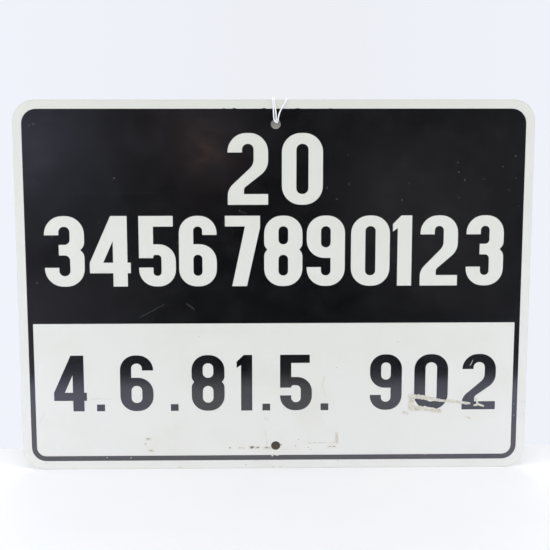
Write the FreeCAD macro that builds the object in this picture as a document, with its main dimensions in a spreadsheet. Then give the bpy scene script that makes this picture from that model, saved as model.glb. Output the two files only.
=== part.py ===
# Sheet-metal warning sign: a punched plate, its white coat, the black print on it,
# and a thin string that is threaded through the top hole and over the top edge.
# Origin: on the top hole's axis, at the plate's back face. +X to the reader's right,
# +Y away from the reader, +Z up. Millimetres.
import FreeCAD, Part
import math
import os
import Sketcher

V = FreeCAD.Vector
doc = FreeCAD.newDocument("warning_sign")

# Driving dimensions: name, value, and what it is
SIZES = [
    ("plate_width", 508.0, "overall width of the plate"),
    ("plate_height", 371.0, "overall height of the plate"),
    ("plate_thickness", 1.6, "gauge of the sheet metal"),
    ("plate_corner", 21.5, "radius of the plate's corners"),
    ("edge_break", 0.25, "bevel along the sheared edges"),
    ("hole_diameter", 9.5, "punched holes, for 5/16 in bolts"),
    ("hole_inset", 23.5, "hole centres in from the top and bottom edges"),
    ("hole_shift", 1.0, "holes to the right of the plate's centre line"),
    ("coat_thickness", 0.15, "baked white coat"),
    ("print_margin", 8.75, "white margin left outside the ink"),
    ("print_corner", 14.4, "outer corner radius of the ink"),
    ("border_width", 5.1, "ink border round the lower panel"),
    ("panel_drop", 220.7, "top edge of the plate down to the lower panel"),
    ("ink_thickness", 0.1, "build of the black ink"),
    ("string_diameter", 1.4, "thin cotton string"),
    ("string_gap", 0.1, "clearance between the string and what it lies on"),
    ("knot_diameter", 4.6, "widest part of the knot"),
    ("knot_right", 1.6, "knot's axis to the right of the holes"),
    ("knot_drop", 30.0, "top hole's centre down to the top of the knot"),
    ("tail_length", 12.0, "loose tails under the knot"),
]
STRING_SIDES = 12  # flats round the string's section, so many that it is as good as round
KNOT_TURNS = 3  # turns of string that show round the knot
TAIL_LEANS = {"left_tail": -1.4, "right_tail": 2.2}  # how far each tail leans out sideways
TAIL_SWING = 1.2  # how far both swing back towards the plate
TAIL_DROP = 2.5  # how far both hang straight down before they lean

sheet = doc.addObject("Spreadsheet::Sheet", "Sizes")
for row, (name, value, meaning) in enumerate(SIZES, start=1):
    sheet.set(f"A{row}", meaning)
    sheet.set(f"B{row}", str(value))
    sheet.setAlias(f"B{row}", name)
doc.recompute()


def size(name):
    """The value that the sheet holds for a driving dimension, in millimetres."""
    return float(sheet.get(name))


# Sketches, pads and pockets


def add_sketch(body, name, forward="0"):
    """A sketch that faces the reader, brought forward from the plate's back by an expression."""
    plane = next(f for f in body.Origin.OriginFeatures if f.Role == "XZ_Plane")
    sketch = body.newObject("Sketcher::SketchObject", name)
    sketch.AttachmentSupport = [(plane, "")]
    sketch.MapMode = "FlatFace"
    sketch.setExpression("AttachmentOffset.Base.z", forward)
    return sketch


def drive(sketch, name, constraint, expression):
    """Add a dimension under its own name, and tie it to the sheet."""
    index = sketch.addConstraint(constraint)
    sketch.renameConstraint(index, name)
    sketch.setExpression(f"Constraints.{name}", expression)


def add_rectangle(sketch, left, right, bottom, top):
    """A rectangle whose four sides stand where four expressions say."""
    start = 10.0
    corners = [V(-start, -start), V(start, -start), V(start, start), V(-start, start)]
    for a, b in zip(corners, corners[1:] + corners[:1]):
        sketch.addGeometry(Part.LineSegment(a, b), False)
    for side in range(4):
        follow = Sketcher.Constraint("Coincident", side, 2, (side + 1) % 4, 1)
        sketch.addConstraint(follow)
        sketch.addConstraint(Sketcher.Constraint("Vertical" if side % 2 else "Horizontal", side))
    drive(sketch, "left", Sketcher.Constraint("DistanceX", 3, 1, -start), left)
    drive(sketch, "right", Sketcher.Constraint("DistanceX", 1, 1, start), right)
    drive(sketch, "bottom", Sketcher.Constraint("DistanceY", 0, 1, -start), bottom)
    drive(sketch, "top", Sketcher.Constraint("DistanceY", 2, 1, start), top)


def add_outline(sketch, corners):
    """A closed outline of straight sides. Its corners stand where pairs of expressions say."""
    count = len(corners)
    turns = [2 * math.pi * i / count for i in range(count)]
    ring = [V(20 + 9 * math.cos(turn), 9 * math.sin(turn)) for turn in turns]
    for a, b in zip(ring, ring[1:] + ring[:1]):
        sketch.addGeometry(Part.LineSegment(a, b), False)
    for i, (across, up) in enumerate(corners):
        sketch.addConstraint(Sketcher.Constraint("Coincident", i, 2, (i + 1) % count, 1))
        drive(sketch, f"x{i}", Sketcher.Constraint("DistanceX", i, 1, ring[i].x), across)
        drive(sketch, f"y{i}", Sketcher.Constraint("DistanceY", i, 1, ring[i].y), up)


def add_hole(sketch, name, height=None):
    """A hole's circle on the upright axis: at the origin, or at the height of an expression."""
    origin, upright = -1, -2  # the sketch's own numbers for its origin and its upright axis
    circle = sketch.addGeometry(Part.Circle(V(0, 0, 0), V(0, 0, 1), 5.0), False)
    if height is None:
        sketch.addConstraint(Sketcher.Constraint("Coincident", circle, 3, origin, 1))
    else:
        sketch.addConstraint(Sketcher.Constraint("PointOnObject", circle, 3, upright))
        level = Sketcher.Constraint("DistanceY", circle, 3, -50.0)
        drive(sketch, f"{name}_height", level, height)
    bore = Sketcher.Constraint("Diameter", circle, 10.0)
    drive(sketch, f"{name}_diameter", bore, "Sizes.hole_diameter")


def pad(body, name, sketch, depth):
    """Raise a sketch towards the reader by a driving dimension."""
    feature = body.newObject("PartDesign::Pad", name)
    feature.Profile = sketch
    feature.setExpression("Length", f"Sizes.{depth}")
    doc.recompute()
    return feature


def pocket(body, name, sketch):
    """Cut a sketch right through the body."""
    before = body.Shape.Volume
    feature = body.newObject("PartDesign::Pocket", name)
    feature.Profile = sketch
    feature.Type = "ThroughAll"
    feature.Midplane = True
    doc.recompute()
    if body.Shape.Volume > before - 0.01:
        raise RuntimeError(f"{name} cuts nothing")
    return feature


def edge_names(feature, chosen):
    """The names of a feature's edges that a test picks."""
    edges = enumerate(feature.Shape.Edges, start=1)
    return [f"Edge{i}" for i, edge in edges if chosen(edge)]


def round_edges(body, name, base, chosen, radius):
    """Fillet the edges of a feature that a test picks, to the radius of an expression."""
    feature = body.newObject("PartDesign::Fillet", name)
    feature.Base = (base, edge_names(base, chosen))
    feature.setExpression("Radius", radius)
    doc.recompute()
    return feature


def is_corner(edge):
    """Does this edge run straight through the layer, from front to back?"""
    return isinstance(edge.Curve, Part.Line) and abs(edge.tangentAt(edge.FirstParameter).y) > 0.99


def is_sheared(edge):
    """Does this edge run round the outside of the front or the back? A hole's rim is closed."""
    across = edge.BoundBox.YLength < size("plate_thickness") / 2
    return across and not edge.isClosed()


# The plate's edges, measured from the top hole

LEFT = "-Sizes.plate_width / 2 - Sizes.hole_shift"
RIGHT = "Sizes.plate_width / 2 - Sizes.hole_shift"
TOP = "Sizes.hole_inset"
BOTTOM = "Sizes.hole_inset - Sizes.plate_height"
LOWER_HOLE = "2 * Sizes.hole_inset - Sizes.plate_height"


def inside(border):
    """The plate's left, right, bottom and top, each brought in by an expression."""
    return (
        f"{LEFT} + {border}",
        f"{RIGHT} - ({border})",
        f"{BOTTOM} + {border}",
        f"{TOP} - ({border})",
    )


def make_plate():
    """The blank: a rounded rectangle of sheet, two punched holes, and eased sheared edges."""
    body = doc.addObject("PartDesign::Body", "sign_plate")
    outline = add_sketch(body, "plate_outline")
    add_rectangle(outline, *inside("0"))
    blank = pad(body, "plate_blank", outline, "plate_thickness")
    blank = round_edges(body, "plate_corners", blank, is_corner, "Sizes.plate_corner")
    punch = add_sketch(body, "plate_holes")
    add_hole(punch, "upper")
    add_hole(punch, "lower", LOWER_HOLE)
    punched = pocket(body, "plate_punching", punch)
    eased = body.newObject("PartDesign::Chamfer", "plate_edges")
    eased.Base = (punched, edge_names(punched, is_sheared))
    eased.setExpression("Size", "Sizes.edge_break")
    doc.recompute()
    return body


def make_coat():
    """The white coat: it covers the flat of the plate's front, and the holes pass through it."""
    body = doc.addObject("PartDesign::Body", "white_coat")
    face = add_sketch(body, "coat_outline", "Sizes.plate_thickness")
    add_rectangle(face, *inside("Sizes.edge_break"))
    layer = pad(body, "coat_layer", face, "coat_thickness")
    round_edges(body, "coat_corners", layer, is_corner, "Sizes.plate_corner - Sizes.edge_break")
    holes = add_sketch(body, "coat_holes", "Sizes.plate_thickness")
    add_hole(holes, "upper")
    add_hole(holes, "lower", LOWER_HOLE)
    pocket(body, "coat_punching", holes)
    return body


def make_print():
    """The black ink: one field with a bare panel low in it, so that a border is left round that.

    The panel's top corners are square. Its lower corners run parallel to the border's own.
    """
    body = doc.addObject("PartDesign::Body", "black_print")
    level = "Sizes.plate_thickness + Sizes.coat_thickness"
    field = add_sketch(body, "ink_outline", level)
    add_rectangle(field, *inside("Sizes.print_margin"))
    layer = pad(body, "ink_layer", field, "ink_thickness")
    round_edges(body, "ink_corners", layer, is_corner, "Sizes.print_corner")
    panel = add_sketch(body, "panel_outline", level)
    left, right, bottom, _ = inside("Sizes.print_margin + Sizes.border_width")
    add_rectangle(panel, left, right, bottom, f"{TOP} - Sizes.panel_drop")
    opened = pocket(body, "bare_panel", panel)
    floor = size("hole_inset") - size("plate_height")
    inner = size("print_margin") + size("border_width")

    def lower_panel_corner(edge):
        return is_corner(edge) and abs(edge.BoundBox.ZMax - floor - inner) < 0.01

    corner = "Sizes.print_corner - Sizes.border_width"
    round_edges(body, "panel_corners", opened, lower_panel_corner, corner)
    hole = add_sketch(body, "ink_hole", level)
    add_hole(hole, "upper")
    pocket(body, "ink_punching", hole)
    return body


# The string

FRONT, BACK = "front", "back"
HOLE, EDGE, KNOT = "hole", "edge", "knot"


def place(x, side, off, level, z):
    """A point of the string's route.

    x runs to the right of the holes, and off is the distance out from the front or the back.
    z counts up from the top hole's centre, the plate's top edge or the top of the knot.
    """
    front = size("plate_thickness") + size("coat_thickness") + size("ink_thickness")
    y = off if side == BACK else -front - off
    start = {HOLE: 0.0, EDGE: size("hole_inset"), KNOT: -size("knot_drop")}[level]
    return V(x, y, start + z)


def string_points():
    """The route, chosen by hand: from the knot, three times over the edge and into the hole.

    Behind the plate it keeps to the sides of the hole, so that the hole stays clear below.
    """
    lie = size("string_diameter") / 2 + size("string_gap")  # off the face that it lies on
    half = lie - size("string_gap") / 2  # the two ends enter the knot side by side
    knot = size("knot_right")
    deep = size("knot_diameter") / 2 + size("string_gap")  # the knot's axis behind the plate
    return [
        place(knot - half, BACK, deep, KNOT, 0.0),
        place(knot - half, BACK, deep, KNOT, 3.5),
        place(-1.4, BACK, 1.9, HOLE, -19.5),
        place(-4.2, BACK, 1.3, HOLE, -11.5),
        place(-6.3, BACK, lie + 0.1, HOLE, -3.5),
        place(-6.6, BACK, lie + 0.05, HOLE, 4.5),
        place(-5.4, BACK, lie, HOLE, 12.0),
        place(-3.6, BACK, lie, EDGE, -4.2),
        place(-3.0, BACK, lie + 0.05, EDGE, 1.15),
        # the left strand: down the front, and across under the others into the hole
        place(-3.0, FRONT, lie + 0.05, EDGE, 1.15),
        place(-2.75, FRONT, lie, EDGE, -3.0),
        place(-2.3, FRONT, lie, HOLE, 16.0),
        place(-2.1, FRONT, lie, HOLE, 11.0),
        place(-1.9, FRONT, 0.95, HOLE, 6.6),
        place(-1.2, FRONT, 1.15, HOLE, 2.7),
        place(1.5, FRONT, 1.2, HOLE, 1.3),
        # up the back, behind the others
        place(1.5, BACK, 2.5, HOLE, 1.3),
        place(1.2, BACK, 2.75, HOLE, 6.0),
        place(0.4, BACK, 1.9, HOLE, 12.0),
        place(-0.7, BACK, lie + 0.05, EDGE, -4.2),
        place(-1.35, BACK, lie + 0.05, EDGE, 1.15),
        # the middle strand: down the front into the hole
        place(-1.35, FRONT, lie + 0.05, EDGE, 1.15),
        place(-1.1, FRONT, lie, EDGE, -3.6),
        place(-0.45, FRONT, lie, HOLE, 15.0),
        place(0.45, FRONT, lie + 0.05, HOLE, 8.8),
        place(0.5, FRONT, 1.25, HOLE, 3.4),
        # slanting up the back to the right
        place(0.5, BACK, 1.25, HOLE, 3.4),
        place(1.9, BACK, lie + 0.1, HOLE, 8.2),
        place(5.2, BACK, lie, HOLE, 13.6),
        place(8.9, BACK, lie, EDGE, -3.8),
        place(10.9, BACK, lie + 0.05, EDGE, 1.15),
        # the right strand: slanting down the front into the hole
        place(10.8, FRONT, lie + 0.05, EDGE, 1.15),
        place(9.0, FRONT, lie, EDGE, -2.6),
        place(5.3, FRONT, lie, HOLE, 14.6),
        place(2.8, FRONT, lie + 0.1, HOLE, 8.5),
        place(2.15, FRONT, 1.3, HOLE, 2.95),
        # round the right of the hole behind, and down to the knot
        place(2.15, BACK, 1.25, HOLE, 2.95),
        place(5.3, BACK, lie + 0.15, HOLE, 4.9),
        place(7.4, BACK, lie + 0.1, HOLE, 0.8),
        place(7.2, BACK, 1.2, HOLE, -7.2),
        place(5.6, BACK, 1.6, HOLE, -14.6),
        place(3.8, BACK, 2.1, HOLE, -21.4),
        place(knot + half, BACK, deep, KNOT, 3.5),
        place(knot + half, BACK, deep, KNOT, 0.0),
    ]


def bent_wire(points):
    """Straight runs joined by tangent arcs, and the radii of the arcs.

    Each arc takes up 0.45 of the shorter of its two runs, so its radius is that length divided by
    the tangent of half the turn.
    """
    edges, radii, start = [], [], points[0]
    for before, corner, after in zip(points, points[1:], points[2:]):
        back, ahead = before - corner, after - corner
        turn = math.pi - back.getAngle(ahead)
        reach = 0.45 * min(back.Length, ahead.Length)
        radii.append(reach / math.tan(turn / 2))
        back.normalize()
        ahead.normalize()
        enter, leave = corner + back * reach, corner + ahead * reach
        inward = back + ahead
        inward.normalize()
        to_centre = radii[-1] / math.cos(turn / 2)
        middle = corner + inward * (to_centre - radii[-1])
        edges.append(Part.LineSegment(start, enter).toShape())
        edges.append(Part.Arc(enter, middle, leave).toShape())
        start = leave
    edges.append(Part.LineSegment(start, points[-1]).toShape())
    return Part.Wire(edges), radii


def add_cord(name, points):
    """A string swept along a route. Its volume has to be its section times its length."""
    wire, radii = bent_wire(points)
    route = doc.addObject("Part::Feature", f"{name}_route")
    route.Shape = wire
    section = doc.addObject("Part::RegularPolygon", f"{name}_section")
    section.Polygon = STRING_SIDES
    section.setExpression("Circumradius", "Sizes.string_diameter / 2")
    along = FreeCAD.Rotation(V(0, 0, 1), points[1] - points[0])
    section.Placement = FreeCAD.Placement(points[0], along)
    sweep = doc.addObject("Part::Sweep", name)
    sweep.Sections = [section]
    sweep.Spine = (route, [])
    sweep.Solid = True
    doc.recompute()
    share = sweep.Shape.Volume / (Part.Face(section.Shape).Area * wire.Length)
    print(f"{name}: length {wire.Length:.1f} mm, volume {share:.4f} of section times length")
    print(f"{name}: bend radii {', '.join(f'{r:.1f}' for r in radii)} mm")
    if abs(share - 1) > 0.01:
        raise RuntimeError(f"{name} doesn't fill its route")
    return sweep


def make_knot():
    """The knot: a lump ridged by its turns of string, and two tails that lean apart under it."""
    lump = doc.addObject("PartDesign::Body", "knot_lump")
    behind = "Sizes.knot_diameter / 2 + Sizes.string_gap"
    for way, where in (("x", "Sizes.knot_right"), ("y", behind), ("z", "-Sizes.knot_drop")):
        lump.setExpression(f"Placement.Base.{way}", where)
    ridge = "Sizes.knot_diameter / 2"
    groove = "Sizes.knot_diameter / 2 - Sizes.string_diameter * 0.3"
    # one ridge for each turn: it's flat over the middle of the turn, and slopes to both sides
    corners = [("0", "0"), (groove, "0")]
    for turn in range(KNOT_TURNS):
        corners.append((ridge, f"-Sizes.string_diameter * {turn + 0.3}"))
        corners.append((ridge, f"-Sizes.string_diameter * {turn + 0.7}"))
        corners.append((groove, f"-Sizes.string_diameter * {turn + 1}"))
    corners.append(("0", f"-Sizes.string_diameter * {KNOT_TURNS}"))
    profile = add_sketch(lump, "knot_profile")
    add_outline(profile, corners)
    turned = lump.newObject("PartDesign::Revolution", "knot_turned")
    turned.Profile = profile
    turned.ReferenceAxis = (profile, ["V_Axis"])
    turned.Angle = 360
    doc.recompute()
    axis, thread = V(lump.Placement.Base), size("string_diameter")
    under = KNOT_TURNS * thread
    tails = []
    for name, lean in TAIL_LEANS.items():
        off = math.copysign(thread * 0.6, lean)  # the tails leave the knot side by side
        points = [
            axis + V(off, 0, -under / 2),
            axis + V(off, 0, -under - TAIL_DROP),
            axis + V(off + lean, -TAIL_SWING, -under - size("tail_length")),
        ]
        tails.append(add_cord(name, points))
    knot = doc.addObject("Part::MultiFuse", "string_knot")
    knot.Shapes = [lump, *tails]
    doc.recompute()
    return knot


def least_gap(points):
    """The least space that the string leaves between its own strands."""
    wire, _ = bent_wire(points)
    steps = wire.discretize(Distance=0.4)
    apart = 8  # samples along the string that still belong to the same strand
    nearest = min(
        a.distanceToPoint(b) for i, a in enumerate(steps) for b in steps[i + apart :]
    )
    return nearest - size("string_diameter")


def check(parts):
    """Every object has computed, and every sub-part is a valid shape of the solids it should be."""
    for item in doc.Objects:
        if "Invalid" in item.State or "Error" in item.State:
            raise RuntimeError(f"{item.Name} is {item.State}")
    for item in parts:
        shape = item.Shape
        if shape.isNull() or not shape.isValid() or len(shape.Solids) != 1:
            raise RuntimeError(f"{item.Label} isn't one valid solid")


string = add_cord("hanging_string", string_points())
parts = [make_plate(), make_coat(), make_print(), string, make_knot()]
doc.recompute()
check(parts)
print(f"least gap between the string's strands: {least_gap(string_points()):.2f} mm")
os.makedirs("parts", exist_ok=True)
for item in parts:
    item.Shape.exportStep(os.path.join("parts", f"{item.Label}.step"))
    box = item.Shape.BoundBox
    print(
        f"{item.Label}: x {box.XMin:.2f} to {box.XMax:.2f}, y {box.YMin:.2f} to {box.YMax:.2f},"
        f" z {box.ZMin:.2f} to {box.ZMax:.2f}, volume {item.Shape.Volume:.1f} mm3"
    )
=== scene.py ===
"""A flat sheet-metal warning sign: a white coat, black print, plain figures, wear, and a string.

Everything is in metres in the part's own frame: the origin is on the top hole's axis at the
plate's back face, +X is the reader's right, +Y points away from the reader, and +Z is up.
The layouts below are in millimetres, as the sign would be dimensioned on paper.
"""

import math
from functools import partial

import bpy
import numpy as np
from mathutils import Euler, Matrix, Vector
from mathutils.geometry import delaunay_2d_cdt


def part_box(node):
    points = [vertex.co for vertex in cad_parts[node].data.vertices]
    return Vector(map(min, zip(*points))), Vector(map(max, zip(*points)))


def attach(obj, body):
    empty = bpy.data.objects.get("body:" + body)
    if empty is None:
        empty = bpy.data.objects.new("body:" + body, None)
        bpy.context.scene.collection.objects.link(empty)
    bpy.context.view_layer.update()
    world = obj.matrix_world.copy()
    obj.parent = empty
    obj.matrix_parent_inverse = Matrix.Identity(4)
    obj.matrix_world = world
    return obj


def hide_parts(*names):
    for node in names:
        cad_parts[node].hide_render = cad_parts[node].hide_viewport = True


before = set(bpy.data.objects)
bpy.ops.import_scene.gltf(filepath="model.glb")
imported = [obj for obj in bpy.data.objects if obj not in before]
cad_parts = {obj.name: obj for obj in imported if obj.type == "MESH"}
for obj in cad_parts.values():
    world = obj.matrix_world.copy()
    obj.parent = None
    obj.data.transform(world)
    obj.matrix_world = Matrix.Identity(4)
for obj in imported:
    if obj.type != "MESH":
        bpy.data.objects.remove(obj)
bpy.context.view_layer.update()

bl_info = {
    "name": "Sheet Metal Warning Sign",
    "version": (1, 0, 0),
    "blender": (4, 5, 0),
    "location": "3D View > Sidebar > Sign",
    "description": "Dresses a flat warning sign: coat, print, plain figures, wear and string",
    "category": "Object",
}

MM = 0.001
BODY = "root"
STRAIGHT = "straightened"  # an attribute: each point's place if the string lay straight


def span(node):
    """A node's lowest and highest corner in millimetres, as two arrays."""
    low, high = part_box(node)
    return np.array(low) / MM, np.array(high) / MM


PLATE_LOW, PLATE_HIGH = span("sign_plate")
COAT_LOW, COAT_HIGH = span("white_coat")
INK_LOW, INK_HIGH = span("black_print")


def linear(code):
    """An sRGB hex colour as linear red, green, blue and alpha."""
    levels = np.array([int(code[i : i + 2], 16) for i in (1, 3, 5)]) / 255
    levels = np.where(levels <= 0.04045, levels / 12.92, ((levels + 0.055) / 1.055) ** 2.4)
    return (*(float(v) for v in levels), 1.0)


# Sizes and colours to change


def number(name, description, default, high=1.0, **more):
    """A number that the panel can change, from nought up if nothing else is said."""
    more = {"min": 0.0, "max": high, **more}
    return bpy.props.FloatProperty(name=name, description=description, default=default, **more)


def length(name, description, millimetres, high=1.0):
    """A length, given in millimetres, that is kept in metres and shown in the scene's unit."""
    kind = {"precision": 5, "unit": "LENGTH", "subtype": "DISTANCE"}
    return number(name, description, millimetres * MM, high, **kind)


def share(name, description, default):
    """A share from nought to one."""
    return number(name, description, default, subtype="FACTOR")


def degrees(name, description, default):
    """An angle, given in degrees."""
    kind = {"min": -math.pi, "unit": "ROTATION", "subtype": "ANGLE"}
    return number(name, description, math.radians(default), math.pi, **kind)


def colour(name, description, code):
    """A colour, given as sRGB hex."""
    kind = {"default": linear(code)[:3], "min": 0.0, "max": 1.0, "size": 3, "subtype": "COLOR"}
    return bpy.props.FloatVectorProperty(name=name, description=description, **kind)


class SignPrint(bpy.types.PropertyGroup):
    """The print: its border, its panel and its figures."""

    border: length("Border", "Width of the ink border round the lower panel", 5.1)
    panel_drop: length("Panel Drop", "Top edge of the plate down to the lower panel", 220.7)
    field_corner: length("Field Corner", "Outer corner radius of the ink", 14.4)
    coat_corner: length("Coat Corner", "Corner radius of the white coat", 21.25)
    hole: length("Hole", "Diameter of the two punched holes", 9.5)
    stem: length("Stem", "Upright strokes of the white figures", 14.2)
    bar: length("Bar", "Level strokes of the white figures", 10.6)
    small_stem: length("Small Stem", "Upright strokes of the black figures", 11.2)
    small_bar: length("Small Bar", "Level strokes of the black figures", 8.4)
    ink: colour("Ink", "Gloss black screen ink", "#0b0c0e")
    coat: colour("Coat", "Baked white enamel", "#d9d9ce")
    metal: colour("Metal", "Bare sheet at the back and in the chips", "#a9aaa8")


class SignWear(bpy.types.PropertyGroup):
    """What the years have left on the face."""

    scratches: share("Scratches", "How strongly scratches show in the ink", 0.55)
    dust: share("Dust", "How much dust lies on the ink", 0.35)
    stains: share("Stains", "How strongly tan stains show on the coat", 0.85)
    residue: colour("Residue", "Tan residue in the scrapes", "#d6d1c3")
    rust: colour("Rust", "Dirty brown in the chips", "#554c40")


class SignString(bpy.types.PropertyGroup):
    """The string that is threaded through the top hole."""

    diameter: length("Diameter", "Thickness of the string", 1.4)
    plies: bpy.props.IntProperty(
        name="Plies", description="Yarns that are twisted together", default=3, min=2, max=6
    )
    twist: length("Twist", "Length of string in one whole turn of its yarns", 5.0)
    cotton: colour("Cotton", "Bleached cotton", "#fafafc")


class SignStage(bpy.types.PropertyGroup):
    """Camera, floor and light."""

    distance: length("Distance", "Camera to the point that it looks at", 1188, high=10)
    focal: number("Focal Length", "Lens, for a 36 mm sensor", 78.5, 300, unit="CAMERA")
    azimuth: degrees("Azimuth", "Camera round the sign, from straight in front", -1.11)
    elevation: degrees("Elevation", "Camera above the horizon", 9.29)
    floor: colour("Floor", "Matt white table", "#f3f2f1")
    backdrop: colour("Backdrop", "Pale wall far behind", "#f0f3fb")
    light: share("Light", "Brightness of the soft light", 0.188)


SETTINGS = {"sign_print": SignPrint, "sign_wear": SignWear}
SETTINGS |= {"sign_string": SignString, "sign_stage": SignStage}


# Outlines, in millimetres


def unit(rows):
    """Each row as a vector of length one."""
    return rows / np.maximum(np.linalg.norm(rows, axis=1, keepdims=True), 1e-9)


def lengths(line):
    """How far along a line each of its points lies."""
    return np.concatenate([[0], np.linalg.norm(np.diff(line, axis=0), axis=1).cumsum()])


def rounded(corners, steps=8):
    """The closed outline through some corners (x, z, radius), each rounded by its own radius.

    The arc touches both sides at radius / tan(half the inner angle) from the corner, and its
    centre lies half way between them, at radius / sin(half the angle).
    """
    rows = np.array(corners, float)
    at, radius = rows[:, :2], rows[:, 2:]
    back, ahead = unit(np.roll(at, 1, 0) - at), unit(np.roll(at, -1, 0) - at)
    half = np.arccos(np.clip((back * ahead).sum(1, keepdims=True), -1, 1)) / 2
    centre = at + unit(back + ahead) * radius / np.sin(half)
    enter = at + back * radius / np.tan(half) - centre
    leave = at + ahead * radius / np.tan(half) - centre
    start = np.arctan2(enter[:, 1], enter[:, 0])[:, None]
    end = np.arctan2(leave[:, 1], leave[:, 0])[:, None]
    turn = (end - start + np.pi) % (2 * np.pi) - np.pi
    angle = start + turn * np.linspace(0, 1, steps + 1)
    ring = np.stack([np.cos(angle), np.sin(angle)], -1)
    points = centre[:, None] + radius[:, None] * ring
    kept = (radius > 0) | (np.arange(steps + 1) == 0)
    return points[kept]


def box(left, right, low, high, radius=0.0):
    """A rectangle's outline with four equal corners."""
    sides = ((left, low), (right, low), (right, high), (left, high))
    return rounded([(x, z, radius) for x, z in sides])


def circle(x, z, radius, steps=48):
    """A circle's outline."""
    angle = np.linspace(0, 2 * np.pi, steps, endpoint=False)
    return np.stack([x + radius * np.cos(angle), z + radius * np.sin(angle)], -1)


def figure(kind, width, height, stem, bar):
    """The outlines of one condensed block figure, outer first and then its counters.

    Upright strokes are as wide as the stem, and level ones as thick as the bar.
    """
    w, h, s, b = width, height, stem, bar
    outer, inner = 0.46 * w, 0.48 * (w - 2 * s)
    bowl, tip, waist = 0.6 * h, 0.27 * h, 0.52 * h
    hook = [(w - s, h - b, inner), (s, h - b, inner), (s, h - tip, 0)]
    tail = [(0, 0, outer), (0, tip, 0), (s, tip, 0), (s, b, inner), (w - s, b, inner)]
    if kind == "0":
        return [box(0, w, 0, h, outer), box(s, w - s, b, h - b, inner)]
    if kind == "1":
        flag = [(w - s, 0.82 * h, 0), (0, 0.77 * h, 0), (0, 0.88 * h, 0), (w - 0.75 * s, h, 0)]
        return [rounded([(w - s, 0, 0), *flag, (w, h, 0), (w, 0, 0)])]
    if kind == "2":
        top = [(0, h - tip, 0), (0, h, outer), (w, h, outer), (w, 0.5 * h, 0.45 * w)]
        foot = [(1.12 * s, 0.235 * h, 0.12 * w), (1.12 * s, b, 0), (w, b, 0), (w, 0, 0), (0, 0, 0)]
        rise = [(0, 0.22 * h, 0.4 * w), (w - s, 0.56 * h, 0.3 * w)]
        return [rounded([*top, *foot, *rise, *hook])]
    if kind == "3":
        right = [(w, waist + 0.06 * h, 0.5 * outer), (0.9 * w, waist, 0)]
        right += [(w, waist - 0.06 * h, 0.5 * outer), (w, 0, outer)]
        tongue = [(w - s, waist - b / 2, inner), (0.36 * w, waist - b / 2, 0)]
        tongue += [(0.36 * w, waist + b / 2, 0), (w - s, waist + b / 2, inner)]
        shape = [(0, h, outer), (w, h, outer), *right, *tail, *tongue, *hook, (0, h - tip, 0)]
        return [rounded(shape)]
    if kind == "4":
        left, right, base = 0.92 * w - s, 0.92 * w, 0.19 * h
        top = base + b
        slope = (h - top) / (left - 0.05 * w)
        arm = [(right, base, 0), (w, base, 0), (w, top, 0), (right, top, 0), (right, h, 0)]
        back = [(left - 0.05 * w, h, 0), (0, top, 0), (0, base, 0), (left, base, 0)]
        gap = [(0.33 * w, top, 0), (left, top, 0), (left, top + (left - 0.33 * w) * slope, 0)]
        return [rounded([(left, 0, 0), (right, 0, 0), *arm, *back]), rounded(gap)]
    if kind == "5":
        head = [(0, h, 0), (0.93 * w, h, 0), (0.93 * w, h - b, 0), (s, h - b, 0), (s, bowl, 0)]
        end = [(w - s, bowl - b, inner), (s, bowl - b, 0.5 * inner)]
        end += [(s, bowl - 1.3 * b, 0), (0, bowl - 1.3 * b, 0)]
        return [rounded([*head, (w, bowl, outer), (w, 0, outer), *tail, *end])]
    if kind in "69":
        head = [(w, h, outer), (w, h - tip, 0), (w - s, h - tip, 0), *hook[:2]]
        loop = [(s, bowl, 0), (w, bowl, outer), (w, 0, outer)]
        shape = [rounded([(0, 0, outer), (0, h, outer), *head, *loop])]
        shape.append(box(s, w - s, b, bowl - b, inner))
        return shape if kind == "6" else [np.array((w, h)) - ring for ring in shape]
    if kind == "7":
        slant = [(w, h - 1.1 * b, 0), (0.2 * w + 1.03 * s, 0, 0), (0.2 * w, 0, 0)]
        return [rounded([(0, h, 0), (w, h, 0), *slant, (w - 1.05 * s, h - b, 0), (0, h - b, 0)])]
    if kind == "8":
        left = [(0, 0, outer), (0, waist - 0.055 * h, 0.5 * outer), (0.08 * w, waist, 0)]
        left += [(0, waist + 0.055 * h, 0.5 * outer), (0, h, outer)]
        right = [(w - x, z, r) for x, z, r in reversed(left)]
        holes = [(waist + b / 2, h - b), (b, waist - b / 2)]
        return [rounded([*left, *right])] + [box(s, w - s, *hole, inner) for hole in holes]
    return [box(0, w, 0, h)]  # a full stop


def row_of_figures(places, low, high, stem, bar):
    """The outlines of a row of figures, each with its own left and right edge."""
    rings = []
    for kind, left, right in places:
        tall = high - low if kind != "." else STOP_HEIGHT
        shape = figure(kind, right - left, tall, stem, bar)
        rings += [ring + (left, low) for ring in shape]
    return rings


# Plain figures stand where the sign has its words: figure, left and right edge
STOP_HEIGHT = 7.0
TOP_ROW = [("2", -47.0, -7.4), ("0", 6.0, 46.2)]
TOP_HEIGHT = (-78.7, -8.6)
MIDDLE_ROW = [
    ("3", -227.6, -188.4), ("4", -183.4, -143), ("5", -134.9, -98.6), ("6", -95.4, -58.2),
    ("7", -50, -15.4), ("8", -11.4, 26.4), ("9", 30.6, 68.4), ("0", 74.4, 112.8), ("1", 115.6, 134.6),
    ("2", 143, 180.2), ("3", 188.6, 225.6),
]
MIDDLE_HEIGHT = (-159.6, -89.4)
LOWER_ROW = [
    ("4", -222.4, -189.6), (".", -179.7, -171.7), ("6", -156, -122.8), (".", -105.6, -97.8),
    ("8", -84.4, -51.4), ("1", -39.2, -23.6), (".", -13.4, -5.6), ("5", 4.4, 36.4), (".", 45.3, 53.1),
    ("9", 94.9, 127), ("0", 139.6, 173.6), ("2", 188, 221.8),
]
LOWER_HEIGHT = (-286.9, -229.5)


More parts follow.
